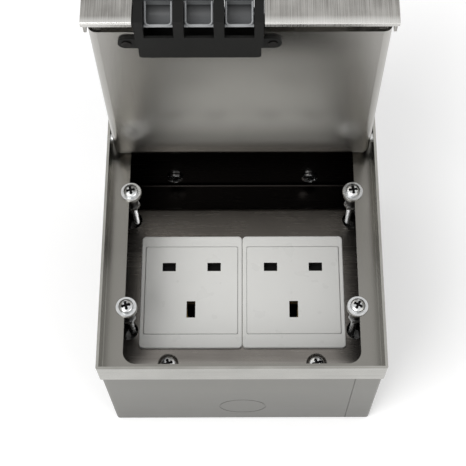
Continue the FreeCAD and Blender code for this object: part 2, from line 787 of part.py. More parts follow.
def lid_front_strip():
    """Flush strip along the front of the lid, with a turned-down lip at both edges."""
    low = lid_thick - strip_lip
    top = [(0, low, seam_round), (0, lid_thick, 0.5), (strip_depth, lid_thick),
           (strip_depth, strip_under), (lid_sheet, strip_under), (lid_sheet, low)]
    strip = lid_bar(top, -lid_half, lid_half)
    foot = pan_half - lid_sheet - side_bend_r
    strip = strip.fuse(lid_block(-foot, foot, strip_depth - lid_sheet, strip_depth,
                                 pan_floor, strip_under)).removeSplitter()
    return strip.cut([outlet_cut(-1, lid_thick + 1, outlet_depth),
                      handle_cut(lid_thick - handle_lip - 0.2, lid_thick + 1)])


def lid_skirts():
    """Two front skirts either side of the cable outlet, returned under, with end cheeks."""
    seam = lid_thick - strip_lip
    path = [(return_depth, lid_sheet), (return_depth, 0), (0, 0, 1.0), (0, seam, seam_round),
            (lid_sheet, seam), (lid_sheet, strip_under), (2 * lid_sheet, strip_under),
            (2 * lid_sheet, seam - lid_sheet), (lid_sheet, seam - lid_sheet),
            (lid_sheet, lid_sheet)]
    skirt = lid_bar(path, -lid_half, lid_half)
    for sx in (-1, 1):
        a, b = sorted((sx * (lid_half - lid_sheet), sx * lid_half))
        skirt = skirt.fuse(lid_block(a, b, lid_sheet, pan_front, pan_raise, strip_under))
    skirt = skirt.removeSplitter()
    a = handle_width / 2 + handle_gap + seat
    well_room = lid_block(handle_x - a, handle_x + a, lid_sheet, 3 * lid_sheet,
                          strip_under - handle_well_depth - seat, strip_under + 1)
    return skirt.cut([outlet_cut(-1, lid_thick + 1, outlet_depth), well_room,
                      handle_cut(lid_thick - handle_lip - 0.2, lid_thick + 1)])


def hinge_pieces():
    """Headed pins fixed in the pan's sides, turning in the frame, and nylon washers."""
    pins, washers = [], []
    inner = pan_half - lid_sheet
    frame_inner = half - frame_wall
    for sx in (-1, 1):
        profile = [(0, 0), (hinge_pin_r, 0), (hinge_pin_r, half - inner),
                   (hinge_head_r, half - inner), (hinge_head_r, half - inner + 0.5),
                   (hinge_head_r - 0.7, half - inner + hinge_head, 0.6),
                   (0, half - inner + hinge_head)]
        pins.append(turned(profile, sx * half, pivot_y, pivot_z, (-sx, 0, 0)))
        thick = frame_inner - pan_half - 2 * hinge_washer_play
        start = sx * (pan_half + hinge_washer_play)
        washers.append(tube(start, pivot_y, pivot_z, hinge_washer_r, hinge_pin_r + seat,
                            thick, (sx, 0, 0)))
    return {"hinge_pins": Part.makeCompound(pins), "hinge_washers": Part.makeCompound(washers)}


# ----------------------------------------------------------------- cable outlet
def flap_centres():
    return [outlet_x + i * flap_pitch for i in (-1, 0, 1)]


def notch_cut(x, r, w0, w1):
    a = notch_width / 2
    points = [(x - a, -1), (x + a, -1), (x + a, notch_depth, r), (x - a, notch_depth, r)]
    return lid_plate(points, w0, w1)


def outlet_bezel():
    """Grey top plate of the cable outlet with three notches open to the front."""
    a = outlet_width / 2
    top = lid_block(outlet_x - a, outlet_x + a, 0, outlet_depth, bezel_under, lid_thick)
    lip = lid_block(outlet_x - a, outlet_x + a, 0, lid_sheet, lid_thick - strip_lip, bezel_under)
    bezel = top.fuse(lip).removeSplitter()
    return bezel.cut([notch_cut(x, notch_corner_r, -1, lid_thick + 1) for x in flap_centres()])


def outlet_housing():
    """Black housing under the bezel: posts, flap chamber and winged flange."""
    a = housing_width / 2
    lip_bottom = lid_thick - strip_lip
    front = lid_block(outlet_x - a, outlet_x + a, 0.3, lid_sheet, housing_bottom, lip_bottom)
    body = lid_block(outlet_x - a, outlet_x + a, lid_sheet, outlet_depth,
                     housing_bottom, bezel_under)
    middle = lid_block(outlet_x - a, outlet_x + a, outlet_depth, housing_step,
                       housing_bottom, strip_under - outlet_gap)
    b = flange_width / 2
    rear = lid_block(outlet_x - b, outlet_x + b, housing_step, housing_back,
                     housing_bottom, strip_under - outlet_gap)
    flange = lid_plate(rounded_rect(outlet_x, (housing_step + flange_back) / 2, flange_width,
                                    flange_back - housing_step, flange_corner_r),
                       housing_bottom, pan_raise)
    wing_v = (wing_front + wing_back) / 2
    wing_r = (wing_back - wing_front) / 2
    wings = lid_plate(rounded_rect(outlet_x, wing_v, wing_width, 2 * wing_r, wing_r - 0.01),
                      pan_raise - housing_wall, pan_raise)
    housing = front.fuse([body, middle, rear, flange, wings])
    inside = b - housing_wall
    chamber = lid_block(outlet_x - inside, outlet_x + inside, notch_depth,
                        housing_back - housing_wall, housing_bottom + housing_wall,
                        lid_thick + 1)
    cuts = [chamber] + [notch_cut(x, 0, -2, lid_thick + 1) for x in flap_centres()]
    cuts.append(lid_rod_x(flap_pin_v, flap_pin_w, flap_pin_r + 0.02, outlet_x - inside - 0.2,
                          outlet_x + inside + 0.2))
    for sx in (-1, 1):
        cuts.append(rod(outlet_x + sx * outlet_screw_x, lid_y(wing_v), lid_z(0),
                        outlet_screw_r + seat, pan_floor + 1))
    return housing.cut(cuts).removeSplitter()


def lid_rod_x(v, w, r, x0, x1):
    return rod(x0, lid_y(v), lid_z(w), r, x1 - x0, (1, 0, 0))


def flap(x):
    """Sprung scoop flap: door, coved shell and two cheeks on a barrel."""
    a = notch_width / 2 - flap_gap
    end_v = notch_depth - flap_gap
    corner = notch_corner_r - flap_gap
    top, under = lid_thick, bezel_under
    plan = [(x - a, flap_front), (x + a, flap_front), (x + a, end_v, corner), (x - a, end_v, corner)]
    door = lid_plate(plan, under, top)
    lip = lid_block(x - a, x + a, flap_front, flap_front + flap_wall, top - strip_lip, under)
    inner_v = end_v - flap_wall
    cove_top = under + flap_bite
    shell = lid_bar([(inner_v - flap_cove_r, top - flap_bite), (inner_v - flap_cove_r, cove_top),
                     (inner_v, cove_top, flap_cove_r),
                     (inner_v, flap_turn_w, flap_turn_r), (flap_toe_v, flap_toe_w + flap_wall),
                     (flap_toe_v, flap_toe_w), (end_v, flap_turn_w - 0.8, flap_turn_r + flap_wall),
                     (end_v, top - flap_bite)], x - a, x + a)
    shell = shell.common(lid_plate(plan, 0, top))
    piece = door.fuse([lip, shell])
    for side in (-1, 1):
        c, d = sorted((x + side * a, x + side * (a - flap_cheek)))
        cheek = lid_bar([(flap_front + flap_wall, under), (flap_front + flap_wall, under - 1.5),
                         (flap_toe_v, flap_toe_w, 6.0), (end_v - 1.5, flap_toe_w + 2.5),
                         (end_v - 1.5, under)], c, d)
        piece = piece.fuse(cheek)
    spring_room = lid_rod_x(flap_pin_v, flap_pin_w, flap_spring_r + 0.15, x + 2.6,
                            x + a - flap_cheek)
    piece = piece.cut(spring_room)
    return piece.cut(lid_rod_x(flap_pin_v, flap_pin_w, flap_pin_r + play, x - a - 1,
                               x + a + 1)).removeSplitter()


def flap_springs():
    coils = [coil(x + 2.75, lid_y(flap_pin_v), lid_z(flap_pin_w), flap_spring_r, 0.75, 1.8, 3,
                  (1, 0, 0)) for x in flap_centres()]
    return Part.makeCompound(coils)


def outlet_screws():
    wing_v = (wing_front + wing_back) / 2
    head, shank = outlet_screw_head_r, outlet_screw_r
    length = housing_wall + lid_sheet
    screws = [turned([(0, -0.6), (head, -0.6), (head, 0), (shank, 0), (shank, length),
                      (0, length)],
                     outlet_x + sx * outlet_screw_x, lid_y(wing_v),
                     lid_z(pan_raise - housing_wall)) for sx in (-1, 1)]
    return Part.makeCompound(screws)


# ------------------------------------------------------------------ lift handle
def tilt_handle(shape):
    turned_shape = shape.copy()
    turned_shape.rotate(FreeCAD.Vector(0, lid_y(handle_pin_v), lid_z(handle_pin_w)),
                        FreeCAD.Vector(1, 0, 0), -handle_rest_angle)
    return turned_shape


def handle_plate():
    """Steel finger plate with a turned-down front lip and a rolled knuckle."""
    a = handle_width / 2
    back = handle_depth
    top = lid_bar([(0.1, lid_thick - handle_lip), (0.1, lid_thick, 0.5),
                   (back, lid_thick, 1.1), (back, strip_under),
                   (0.1 + lid_sheet, strip_under, 0.2), (0.1 + lid_sheet, lid_thick - handle_lip)],
                  handle_x - a, handle_x + a)
    knuckle = lid_rod_x(handle_pin_v, handle_pin_w, handle_knuckle_r, handle_x - a + 3,
                        handle_x + a - 3)
    piece = top.fuse(knuckle)
    return piece.cut(lid_rod_x(handle_pin_v, handle_pin_w, handle_pin_r + play,
                               handle_x - a, handle_x + a)).removeSplitter()


def handle_pad():
    """Black pad under the finger plate."""
    a = handle_width / 2 - 0.6
    low = strip_under - handle_pad_thick
    front, back = pad_front, handle_pin_v - handle_knuckle_r - pad_back_gap
    pad = lid_bar([(front, strip_under), (front, low, 0.5), (back, low, 0.5), (back, strip_under)],
                  handle_x - a, handle_x + a)
    g0, g1 = front + grip_inset, front + grip_inset + grip_length
    grip = lid_bar([(g0, low - 0.1), (g0, low + grip_depth, 0.4), (g1, low + grip_depth, 0.4),
                    (g1, low - 0.1)], handle_x - a + grip_margin, handle_x + a - grip_margin)
    return pad.cut(grip)


def handle_well():
    """Black cup let into the strip under the handle."""
    a = handle_width / 2 + handle_gap + housing_wall
    low = strip_under - handle_well_depth
    cup = lid_block(handle_x - a, handle_x + a, 2 * lid_sheet + seat, handle_well_back + 1.0,
                    low, strip_under)
    front = lid_block(handle_x - a + housing_wall, handle_x + a - housing_wall, lid_sheet + 0.3,
                      3 * lid_sheet, low, lid_thick - handle_lip - 0.3)
    hollow = lid_block(handle_x - a + housing_wall, handle_x + a - housing_wall, 3 * lid_sheet,
                       handle_well_back, low + housing_wall, lid_thick)
    mouth = lid_block(handle_x - a + housing_wall, handle_x + a - housing_wall, 0, 4 * lid_sheet,
                      lid_thick - handle_lip - 0.3, lid_thick)
    cup = cup.fuse(front).cut([hollow, mouth])
    return cup.cut(lid_rod_x(handle_pin_v, handle_pin_w, handle_pin_r + 0.02, handle_x - a,
                             handle_x + a)).removeSplitter()


def handle_pin():
    a = handle_width / 2 + handle_gap + housing_wall - 0.1
    return lid_rod_x(handle_pin_v, handle_pin_w, handle_pin_r, handle_x - a, handle_x + a)


def flap_pin():
    a = flange_width / 2 - housing_wall
    return lid_rod_x(flap_pin_v, flap_pin_w, flap_pin_r, outlet_x - a, outlet_x + a)


# --------------------------------------------------------------------- assembly
def fixed_pieces():
    pieces = {"back_box": back_box(), "frame": frame(), "socket_tray": socket_tray()}
    pieces.update(earth_terminal())
    pieces.update(levelling_hardware())
    pieces.update(tray_fixings())
    for side, x in zip(("left", "right"), socket_centres()):
        pieces[side + "_socket_plate"] = socket_plate(x)
        pieces[side + "_socket_face"] = socket_face(x)
        pieces[side + "_socket_base"] = socket_base(x)
        pieces[side + "_shutter"] = shutter(x)
        pieces[side + "_shutter_spring"] = shutter_spring(x)
        pieces[side + "_terminal_screws"] = terminal_screws(x)
        for name, solid in contacts(x).items():
            pieces[side + "_" + name] = solid
    return pieces


def lid_pieces():
    pieces = {"lid_pan": lid_pan(), "lid_front_strip": lid_front_strip(),
              "lid_skirts": lid_skirts()}
    pieces.update(hinge_pieces())
    pieces.update({"outlet_bezel": outlet_bezel(), "outlet_housing": outlet_housing(),
                   "outlet_screws": outlet_screws(), "flap_pin": flap_pin(),
                   "flap_springs": flap_springs(), "handle_well": handle_well(),
                   "handle_pin": handle_pin(), "handle_plate": tilt_handle(handle_plate()),
                   "handle_pad": tilt_handle(handle_pad())})
    for side, x in zip(("left", "middle", "right"), flap_centres()):
        pieces[side + "_cable_flap"] = flap(x)
    return {name: shut_to_open(solid) for name, solid in pieces.items()}


def export_all():
    os.makedirs("parts", exist_ok=True)
    pieces = fixed_pieces()
    pieces.update(lid_pieces())
    for name, shape in pieces.items():
        shape.exportStep("parts/" + name + ".step")
        print(name, len(shape.Solids), "valid" if shape.isValid() else "NOT VALID",
              round(shape.Volume, 1))


export_all()
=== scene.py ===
import bpy
import bmesh
import math
from mathutils import Matrix, Vector


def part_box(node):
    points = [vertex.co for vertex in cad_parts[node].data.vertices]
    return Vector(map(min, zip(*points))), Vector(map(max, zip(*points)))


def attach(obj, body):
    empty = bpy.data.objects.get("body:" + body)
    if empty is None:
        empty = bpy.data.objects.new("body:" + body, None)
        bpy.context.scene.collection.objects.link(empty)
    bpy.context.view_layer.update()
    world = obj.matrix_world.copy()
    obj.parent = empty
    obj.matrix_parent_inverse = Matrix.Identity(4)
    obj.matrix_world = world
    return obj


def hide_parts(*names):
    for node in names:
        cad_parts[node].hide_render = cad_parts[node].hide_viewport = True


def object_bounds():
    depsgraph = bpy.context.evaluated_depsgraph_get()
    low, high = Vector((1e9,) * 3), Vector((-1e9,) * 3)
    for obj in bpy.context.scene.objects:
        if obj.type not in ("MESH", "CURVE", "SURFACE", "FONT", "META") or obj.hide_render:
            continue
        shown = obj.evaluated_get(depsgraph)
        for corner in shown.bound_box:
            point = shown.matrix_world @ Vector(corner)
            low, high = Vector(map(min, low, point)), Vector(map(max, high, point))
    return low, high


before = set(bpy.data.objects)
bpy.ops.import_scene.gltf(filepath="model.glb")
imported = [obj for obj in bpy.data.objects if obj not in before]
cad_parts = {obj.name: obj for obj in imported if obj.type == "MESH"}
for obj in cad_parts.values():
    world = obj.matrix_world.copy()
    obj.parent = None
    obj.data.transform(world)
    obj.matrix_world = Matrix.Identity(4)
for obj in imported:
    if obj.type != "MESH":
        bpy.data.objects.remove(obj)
cad_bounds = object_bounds()

# ------------------------------------------------------------------ back box
# The box that is set in the screed.  Galvanised mild steel sheet, cut, folded up
# and spot welded at the corners, with scored knock-outs for the conduits.

MM = 0.001
SIDEWAYS = (40 * MM, 40 * MM, 0.45 * MM)     # grain that runs level round the walls
UPRIGHT = (0.45 * MM, 40 * MM, 40 * MM)      # grain that runs up and down, and front to back
BUMP_DEPTH = 0.1 * MM


def linear(hex_colour):
    """An sRGB hex colour as linear red, green, blue and alpha."""
    parts = [int(hex_colour[i:i + 2], 16) / 255 for i in (1, 3, 5)]
    return [c / 12.92 if c <= 0.04045 else ((c + 0.055) / 1.055) ** 2.4 for c in parts] + [1.0]


def add(tree, kind, sockets=None, **settings):
    """Adds a node with its settings, and fills or links its sockets by name or number."""
    made = tree.nodes.new(kind)
    for name, value in settings.items():
        setattr(made, name, value)
    for key, value in (sockets or {}).items():
        if isinstance(value, bpy.types.NodeSocket):
            tree.links.new(value, made.inputs[key])
        else:
            made.inputs[key].default_value = value
    return made


def reckon(tree, operation, *values):
    """The result of a Math node."""
    return add(tree, "ShaderNodeMath", dict(enumerate(values)), operation=operation).outputs[0]


def remap(tree, value, start, end, at_start=0.0, at_end=1.0):
    """A value that goes from at_start to at_end as the given one goes from start to end."""
    spans = {0: value, 1: start, 2: end, 3: at_start, 4: at_end}
    return add(tree, "ShaderNodeMapRange", spans).outputs[0]


def place_axes(tree):
    """The object's own X, Y and Z as sockets."""
    place = add(tree, "ShaderNodeTexCoord").outputs["Object"]
    return add(tree, "ShaderNodeSeparateXYZ", {0: place}).outputs


def new_material(name):
    """An empty node material and its tree."""
    made = bpy.data.materials.new(name)
    made.use_nodes = True
    made.node_tree.nodes.clear()
    return made, made.node_tree


def steel(name, light, dark, grain, polish, relief=0.05, cloud=14 * MM, draw=0.0):
    """Metal sheet with a drawn or brushed grain.

    grain is how long one streak is along X, Y and Z, and polish the roughness of its
    smoothest and its dullest streaks.  Slow clouds keep large panels from looking even.
    draw stretches reflections level, across a grain that runs up and down.
    """
    cloud_share = 0.35
    noise_low, noise_high = 0.36, 0.64       # the part of the noise that the tones are spread over
    made, tree = new_material(name)
    place = add(tree, "ShaderNodeTexCoord").outputs["Object"]
    stretch = add(tree, "ShaderNodeMapping", {"Vector": place, "Scale": [1 / g for g in grain]})
    streaks = add(tree, "ShaderNodeTexNoise", {"Vector": stretch.outputs[0], "Scale": 1.0,
                                               "Detail": 4.0, "Roughness": 0.65})
    clouds = add(tree, "ShaderNodeTexNoise", {"Vector": place, "Scale": 1 / cloud,
                                              "Detail": 3.0, "Roughness": 0.5})
    mixed = add(tree, "ShaderNodeMix", {0: cloud_share, 2: streaks.outputs[0], 3: clouds.outputs[0]})
    tone = remap(tree, mixed.outputs[0], noise_low, noise_high)
    colour = add(tree, "ShaderNodeMix", {0: tone, 6: linear(dark), 7: linear(light)},
                 data_type="RGBA")
    rough = remap(tree, mixed.outputs[0], noise_low, noise_high, polish[0], polish[1])
    bump = add(tree, "ShaderNodeBump", {"Strength": relief, "Distance": BUMP_DEPTH,
                                        "Height": streaks.outputs[0]})
    shader = add(tree, "ShaderNodeBsdfPrincipled",
                 {"Base Color": colour.outputs[2], "Metallic": 1.0, "Anisotropic": draw,
                  "Roughness": rough, "Normal": bump.outputs[0]})
    add(tree, "ShaderNodeOutputMaterial", {"Surface": shader.outputs[0]})
    return made


def tint(material, mask, colour):
    """Lays another colour, in hex or from a socket, over a finish wherever mask is 1."""
    tree = material.node_tree
    shader = next(node for node in tree.nodes if node.type == "BSDF_PRINCIPLED")
    plain = shader.inputs["Base Color"].links[0].from_socket
    over = linear(colour) if isinstance(colour, str) else colour
    laid = add(tree, "ShaderNodeMix", {0: mask, 6: plain, 7: over}, data_type="RGBA")
    tree.links.new(laid.outputs[2], shader.inputs["Base Color"])


def within_walls(tree, half_width):
    """1 inside a square well of that half width round the middle, and 0 on the walls' outside."""
    across, back = place_axes(tree)[:2]
    widest = reckon(tree, "MAXIMUM", reckon(tree, "ABSOLUTE", across), reckon(tree, "ABSOLUTE", back))
    return reckon(tree, "LESS_THAN", widest, half_width)


def dress(material, *nodes):
    """Gives carried-over nodes their finish."""
    for node in nodes:
        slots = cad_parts[node].data.materials
        slots.clear()
        slots.append(material)


# Dull grey zinc with a faint level grain.
galvanised_sheet = steel("galvanised_steel_sheet", "#7D7C77", "#6A6965", SIDEWAYS, (0.32, 0.42))
zinc_tree = galvanised_sheet.node_tree
# The inside, which starts half a sheet in from the walls, is toned nearly black, as deep shade.
half_sheet = 0.5 * MM
box_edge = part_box("back_box")[1].x
tint(galvanised_sheet, within_walls(zinc_tree, box_edge - half_sheet), "#2A2826")
# Outside, the walls are painted darker towards the foot, as painted shade.
foot_top = 50 * MM
foot_painted_shade = 0.5
rise = place_axes(zinc_tree)[2]
tint(galvanised_sheet, remap(zinc_tree, rise, foot_top, 0.0, 0.0, foot_painted_shade), "#4A4946")
# A dark line lies where the frame's overhang shades the top.
shade_line = 0.9 * MM
under_rim = reckon(zinc_tree, "GREATER_THAN", rise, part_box("frame")[0].z - shade_line)
tint(galvanised_sheet, under_rim, "#1E1D1C")
dress(galvanised_sheet, "back_box")

# ------------------------------------------------------------- sheet-steel tray
# The tray that carries the sockets and drops behind them into a cable well.
# Folded zinc-plated sheet, passivated, and screwed in place inside the box.

# Darker than the box and nearly smooth, so that it mirrors softly what stands over it.
tray_grain = (40 * MM, 0.9 * MM, 0.9 * MM)
tray_sheet = steel("passivated_tray_sheet", "#807C77", "#716D69", tray_grain, (0.25, 0.28), relief=0.0)
tray_tree = tray_sheet.node_tree
tray_back = place_axes(tray_tree)[1]
# The cable well behind the sockets is toned nearly black, as it lies in shade.
well_starts = 36.3 * MM
tint(tray_sheet, reckon(tray_tree, "GREATER_THAN", tray_back, well_starts), "#2B2826")
# The strip along the front is painted lighter, as painted light where it faces the open side.
strip_ends, strip_full = 17 * MM, 9 * MM     # back from the tray's front edge
strip_painted_light = 0.6
tray_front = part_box("socket_tray")[0].y
front_strip = remap(tray_tree, tray_back, tray_front + strip_ends, tray_front + strip_full,
                    0.0, strip_painted_light)
tint(tray_sheet, front_strip, "#C2C0BB")
dress(tray_sheet, "socket_tray")

# ------------------------------------------------------------- screws and nuts
# Pan-head machine screws with a cross recess and a thread, with their nuts and
# washers, all in zinc-plated steel; the jacking sleeves are black oxide.


def screw_mesh(name, head_r, head_height, shank_r, length, pitch):
    """One screw, its axis on Z and the underside of its head at 0, as rings round the axis.

    The thread is a row of grooves.  The float attribute "recess" is 1 in the cross recess
    and 0 elsewhere.
    """
    around = 40
    dome_rows = 14
    dome_base = 0.35                         # the dome's ellipse is centred this far up the head
    dome_span = 0.95                         # the square of how much of the ellipse the head takes
    edge_height, edge_r = 0.1, 0.97          # the bevel under the head's edge
    recess_depth = 0.35                      # the recess's floor, as a share of the dome over it
    arm = 0.16 * head_r
    arm_reach = 0.62 * head_r
    rows_a_turn = 3
    groove = 0.35 * pitch
    thread_top = 0.4 * pitch
    tip_r = shank_r * 0.6

    rows = []
    for step in range(1, dome_rows + 1):
        out = step / dome_rows
        dome = dome_base + (1 - dome_base) * math.sqrt(1 - dome_span * out ** 2)
        rows.append((head_r * out, head_height * dome, True))
    rows.append((head_r, edge_height * head_height, False))
    rows.append((head_r * edge_r, 0, False))
    rows.append((shank_r, 0, False))
    turns = int(length / pitch) - 1
    for row in range(turns * rows_a_turn):
        radius = shank_r - groove * (row % rows_a_turn == 1)
        rows.append((radius, -row * pitch / rows_a_turn - thread_top, False))
    rows.append((tip_r, -length, False))

    form = bmesh.new()
    recess = form.verts.layers.float.new("recess")
    top = form.verts.new((0, 0, head_height * recess_depth))
    top[recess] = 1.0
    rings = []
    for radius, height, is_dome in rows:
        ring = []
        for spot in range(around):
            angle = 2 * math.pi * spot / around
            x, y = radius * math.cos(angle), radius * math.sin(angle)
            in_cross = is_dome and min(abs(x), abs(y)) < arm and radius < arm_reach
            vert = form.verts.new((x, y, height * recess_depth if in_cross else height))
            vert[recess] = 1.0 if in_cross else 0.0
            ring.append(vert)
        rings.append(ring)
    for spot in range(around):
        following = (spot + 1) % around
        form.faces.new((top, rings[0][spot], rings[0][following]))
        for upper, lower in zip(rings, rings[1:]):
            form.faces.new((upper[spot], lower[spot], lower[following], upper[following]))
    form.faces.new(list(reversed(rings[-1])))
    bmesh.ops.recalc_face_normals(form, faces=form.faces)
    made = bpy.data.meshes.new(name)
    form.to_mesh(made)
    form.free()
    return made


def open_group(name, result, inputs):
    """A Geometry Nodes group: its tree, its inputs' identifiers and their sockets, both by label."""
    tree = bpy.data.node_groups.new(name, "GeometryNodeTree")
    identifiers = {}
    for label, kind in inputs.items():
        made = tree.interface.new_socket(label, in_out="INPUT", socket_type="NodeSocket" + kind)
        identifiers[label] = made.identifier
    tree.interface.new_socket(result, in_out="OUTPUT", socket_type="NodeSocketGeometry")
    return tree, identifiers, add(tree, "NodeGroupInput").outputs


def close_group(tree, geometry, finish):
    """Ends a group: what it made becomes real and takes its finish."""
    real = add(tree, "GeometryNodeRealizeInstances", {0: geometry})
    finished = add(tree, "GeometryNodeSetMaterial", {0: real.outputs[0], "Material": finish})
    add(tree, "NodeGroupOutput", {0: finished.outputs[0]})


def grow(name, start, group, values):
    """What a group makes of the start mesh, as an object with a plain mesh and no modifier."""
    tree, identifiers = group
    carrier = bpy.data.objects.new(name + "_start", start)
    bpy.context.scene.collection.objects.link(carrier)
    modifier = carrier.modifiers.new("grow", "NODES")
    modifier.node_group = tree
    for label, value in values.items():
        modifier[identifiers[label]] = value
    carrier.data.update()
    grown = carrier.evaluated_get(bpy.context.evaluated_depsgraph_get())
    piece = bpy.data.objects.new(name, bpy.data.meshes.new_from_object(grown))
    bpy.data.objects.remove(carrier)
    bpy.context.scene.collection.objects.link(piece)
    return piece


def pattern_group():
    """Geometry Nodes that set one screw on each point of a rectangular pattern."""
    tree, identifiers, given = open_group("screw_pattern", "Screws", {
        "Screw": "Object", "Columns": "Int", "Rows": "Int", "Column pitch": "Float",
        "Row pitch": "Float", "Centre": "Vector", "Lean": "Vector", "Turn seed": "Int",
        "Finish": "Material"})
    points = add(tree, "GeometryNodeMeshGrid", {0: given["Column pitch"], 1: given["Row pitch"],
                                                2: given["Columns"], 3: given["Rows"]})
    screw = add(tree, "GeometryNodeObjectInfo", {"Object": given["Screw"]})
    turn = add(tree, "FunctionNodeRandomValue", {"Min": (0, 0, 0), "Max": (0, 0, math.pi / 2),
                                                 "Seed": given["Turn seed"]},
               data_type="FLOAT_VECTOR")
    lean = add(tree, "FunctionNodeEulerToRotation", {0: given["Lean"]})
    spin = add(tree, "FunctionNodeEulerToRotation", {0: turn.outputs["Value"]})
    facing = add(tree, "FunctionNodeRotateRotation", {0: lean.outputs[0], 1: spin.outputs[0]},
                 rotation_space="LOCAL")
    placed = add(tree, "GeometryNodeTransform", {0: points.outputs[0], "Translation": given["Centre"]})
    copies = add(tree, "GeometryNodeInstanceOnPoints",
                 {"Points": placed.outputs[0], "Instance": screw.outputs["Geometry"],
                  "Rotation": facing.outputs[0]})
    close_group(tree, copies.outputs[0], given["Finish"])
    return tree, identifiers


screw_pattern = pattern_group()


def set_screws(node, body, one_screw, finish, **values):
    """Screws in place of a node's plain ones, that ride on body; values are the pattern's inputs."""
    source = bpy.data.objects.new(node + "_one", one_screw)
    bpy.context.scene.collection.objects.link(source)
    inputs = {label.replace("_", " "): value for label, value in values.items()}
    inputs["Screw"] = source
    inputs["Finish"] = finish
    piece = grow("turned_" + node, bpy.data.meshes.new(node + "_pattern"), screw_pattern, inputs)
    bpy.data.objects.remove(source)
    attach(piece, body)
    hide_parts(node)


# Bright zinc is smooth and slightly blue; it is toned dark only in the recess, which is in shade.
fine_grain = (2 * MM, 2 * MM, 2 * MM)
fine_cloud = 3 * MM
zinc_plate = steel("bright_zinc_plate", "#DADBDB", "#BCBDBE", fine_grain, (0.18, 0.3),
                   relief=0.02, cloud=fine_cloud)
in_recess = add(zinc_plate.node_tree, "ShaderNodeAttribute", attribute_name="recess").outputs["Fac"]
tint(zinc_plate, in_recess, "#1B1B1B")
black_oxide = steel("black_oxide_steel", "#3C3A39", "#2A2928", fine_grain, (0.3, 0.42),
                    relief=0.02, cloud=fine_cloud)
dress(zinc_plate, "earth_stud", "earth_washers", "earth_nuts", "rivet_nuts", "levelling_washers",
      "levelling_nuts", "hinge_pins", "hinge_washers", "flap_pin", "handle_pin", "flap_springs",
      "left_shutter_spring", "right_shutter_spring")
dress(black_oxide, "levelling_sleeves", "outlet_screws")

level_head_r, level_head_height, level_shank_r = 3.4 * MM, 2.3 * MM, 1.5 * MM
level_pitch = 0.5 * MM
level_low, level_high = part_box("levelling_screws")
level_middle = (level_low + level_high) / 2
level_head_under = level_high.z - level_head_height
level_screw = screw_mesh("levelling_screw", level_head_r, level_head_height, level_shank_r,
                         level_head_under - level_low.z, level_pitch)
set_screws("levelling_screws", "frame", level_screw, zinc_plate, Columns=2, Rows=2,
           Column_pitch=level_high.x - level_low.x - 2 * level_head_r,
           Row_pitch=level_high.y - level_low.y - 2 * level_head_r,
           Centre=(level_middle.x, level_middle.y, level_head_under), Turn_seed=4)

# The tray's front screws stand up.  Its back two face forward, and have broader heads.
tray_head_height, tray_shank_r = 2.2 * MM, 2.0 * MM
tray_pitch = 0.7 * MM
broad_head_r = 4.2 * MM
for row, upwards in (("front", True), ("back", False)):
    low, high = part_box(f"tray_{row}_screws")
    half_head = (high.y - low.y if upwards else high.z - low.z) / 2
    length = (high.z - low.z if upwards else high.y - low.y) - tray_head_height
    if upwards:
        seat = (0, (low.y + high.y) / 2, low.z + length)
    else:
        seat = (0, high.y - length, (low.z + high.z) / 2)
    tray_screw = screw_mesh(f"tray_{row}_screw", half_head if upwards else broad_head_r,
                            tray_head_height, tray_shank_r, length, tray_pitch)
    set_screws(f"tray_{row}_screws", "box", tray_screw, zinc_plate, Columns=2, Rows=1,
               Column_pitch=high.x - low.x - 2 * half_head, Row_pitch=0.0, Centre=seat,
               Lean=(0, 0, 0) if upwards else (math.pi / 2, 0, 0), Turn_seed=7)

# ----------------------------------------------------------------- twin sockets
# Two unswitched three-pin sockets.  Urea-formaldehyde plates, pressed white with
# a satin skin; black nylon behind; brass contacts and terminal screws.


def plastic(name, light, dark, gloss, relief=0.05, shine=0.5):
    """Moulded plastic: an even colour, a fine skin and a little unevenness in the gloss."""
    pit = 0.35 * MM
    flow_size = 9 * MM
    noise_low, noise_high = 0.3, 0.7
    made, tree = new_material(name)
    place = add(tree, "ShaderNodeTexCoord").outputs["Object"]
    skin = add(tree, "ShaderNodeTexNoise", {"Vector": place, "Scale": 1 / pit, "Detail": 3.0})
    flow = add(tree, "ShaderNodeTexNoise", {"Vector": place, "Scale": 1 / flow_size, "Detail": 2.0})
    colour = add(tree, "ShaderNodeMix", {0: flow.outputs[0], 6: linear(dark), 7: linear(light)},
                 data_type="RGBA")
    rough = remap(tree, flow.outputs[0], noise_low, noise_high, gloss[0], gloss[1])
    bump = add(tree, "ShaderNodeBump", {"Strength": relief, "Distance": BUMP_DEPTH,
                                        "Height": skin.outputs[0]})
    shader = add(tree, "ShaderNodeBsdfPrincipled",
                 {"Base Color": colour.outputs[2], "IOR": 1.5, "Specular IOR Level": shine,
                  "Roughness": rough, "Normal": bump.outputs[0]})
    add(tree, "ShaderNodeOutputMaterial", {"Surface": shader.outputs[0]})
    return made


# Urea is pressed in a polished tool: white, even and satin.
urea = ("#EFEFEC", "#ECECE9", (0.27, 0.31), 0.02)
white_urea = plastic("white_urea_moulding", *urea)
# The face's upright walls are its pin slots and its parting groove, toned dark as shade.
white_face = plastic("white_urea_socket_face", *urea)
face_tree = white_face.node_tree
normal = add(face_tree, "ShaderNodeNewGeometry").outputs["True Normal"]
facing_up = add(face_tree, "ShaderNodeSeparateXYZ", {0: normal}).outputs[2]
steepest_top = 0.3
tint(white_face, reckon(face_tree, "LESS_THAN", facing_up, steepest_top), "#1C1B1A")
